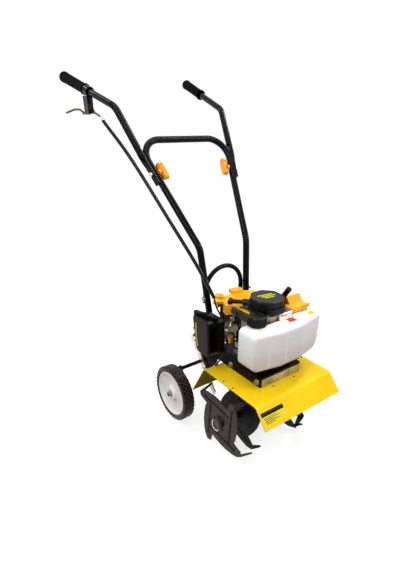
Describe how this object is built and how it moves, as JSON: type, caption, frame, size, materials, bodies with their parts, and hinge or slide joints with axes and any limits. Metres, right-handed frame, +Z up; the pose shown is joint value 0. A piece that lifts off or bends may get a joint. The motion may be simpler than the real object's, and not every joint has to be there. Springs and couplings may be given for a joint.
{
  "type": "garden tiller",
  "caption": "Walk-behind garden tiller with a small engine over a guarded tine shaft, transport wheels behind and splayed folding handles.",
  "frame": {"origin": "middle of the overall length and width, on the ground", "axes": "+X forward in the direction of work, +Y to the left, +Z up"},
  "size_m": [0.9158, 0.5036, 1.0339],
  "materials": {
    "black_tube": "gloss black powder coat",
    "yellow_paint": "gloss yellow powder coat",
    "zinc_steel": "zinc plated",
    "tine_steel": "satin dark grey coat",
    "cast_alloy": "cast alloy",
    "gear_black": "satin black coat",
    "tyre": "moulded tread",
    "white_plastic": "white moulded disc",
    "tank_plastic": "translucent white, waxy",
    "black_plastic": "satin black",
    "orange_plastic": "orange yellow",
    "grip_rubber": "ribbed black rubber",
    "brass": "yellow zinc"
  },
  "bodies": {
    "chassis": {"frame_rail_right": "black_tube", "frame_rail_left": "black_tube", "front_crossbar": "zinc_steel", "engine_plate": "gear_black", "tine_guard": "yellow_paint", "drive_neck": "gear_black", "gearbox": "gear_black", "hitch_bracket": "gear_black", "depth_stake": "zinc_steel", "wheel_carrier": "black_tube", "axle_nuts": "zinc_steel", "handlebar_lower": "black_tube", "fold_knob_right": "orange_plastic", "fold_knob_left": "orange_plastic", "carry_handle": "black_tube", "crankcase": "cast_alloy", "cylinder": "cast_alloy", "muffler": "gear_black", "shroud": "orange_plastic", "recoil_starter": "black_plastic", "starter_grip": "black_plastic", "starter_bracket": "zinc_steel", "plug_cap": "black_plastic", "carburettor": "cast_alloy", "air_cleaner_base": "black_plastic", "air_cleaner_cover": "black_plastic", "fuel_tank": "tank_plastic", "tank_cap": "black_plastic", "tank_bracket": "gear_black", "fuel_hose": "grip_rubber", "throttle_cable_lower": "black_plastic"},
    "handle_right": {"handlebar_upper_right": "black_tube", "grip_right": "grip_rubber", "throttle_clamp": "black_plastic", "throttle_lever": "brass", "throttle_cable_upper": "black_plastic"},
    "handle_left": {"handlebar_upper_left": "black_tube", "grip_left": "grip_rubber"},
    "wheel_right": {"tyre_right": "tyre", "wheel_disc_right": "white_plastic"},
    "wheel_left": {"tyre_left": "tyre", "wheel_disc_left": "white_plastic"},
    "tine_rotor": {"tine_shaft": "zinc_steel", "tine_star_outer_right": "tine_steel", "tine_star_inner_right": "tine_steel", "tine_star_inner_left": "tine_steel", "tine_star_outer_left": "tine_steel", "tine_clips": "zinc_steel"}
  },
  "joints": [
    {"name": "wheel_right_spin", "type": "hinge", "parent": "chassis", "child": "wheel_right", "pos_m": [0.072, -0.165, 0.089], "axis": [0, 1, 0], "continuous": true},
    {"name": "wheel_left_spin", "type": "hinge", "parent": "chassis", "child": "wheel_left", "pos_m": [0.072, 0.165, 0.089], "axis": [0, 1, 0], "continuous": true},
    {"name": "tine_rotor_spin", "type": "hinge", "parent": "chassis", "child": "tine_rotor", "pos_m": [0.282, 0, 0.097], "axis": [0, 1, 0], "continuous": true},
    {"name": "handle_right_fold", "type": "hinge", "parent": "chassis", "child": "handle_right", "pos_m": [-0.054, -0.14089, 0.7548], "axis": [-0.1251, 0.9778, 0.168], "range_deg": [0, 140]},
    {"name": "handle_left_fold", "type": "hinge", "parent": "chassis", "child": "handle_left", "pos_m": [-0.054, 0.14089, 0.7548], "axis": [0.1251, 0.9778, -0.168], "range_deg": [0, 140]}
  ]
}
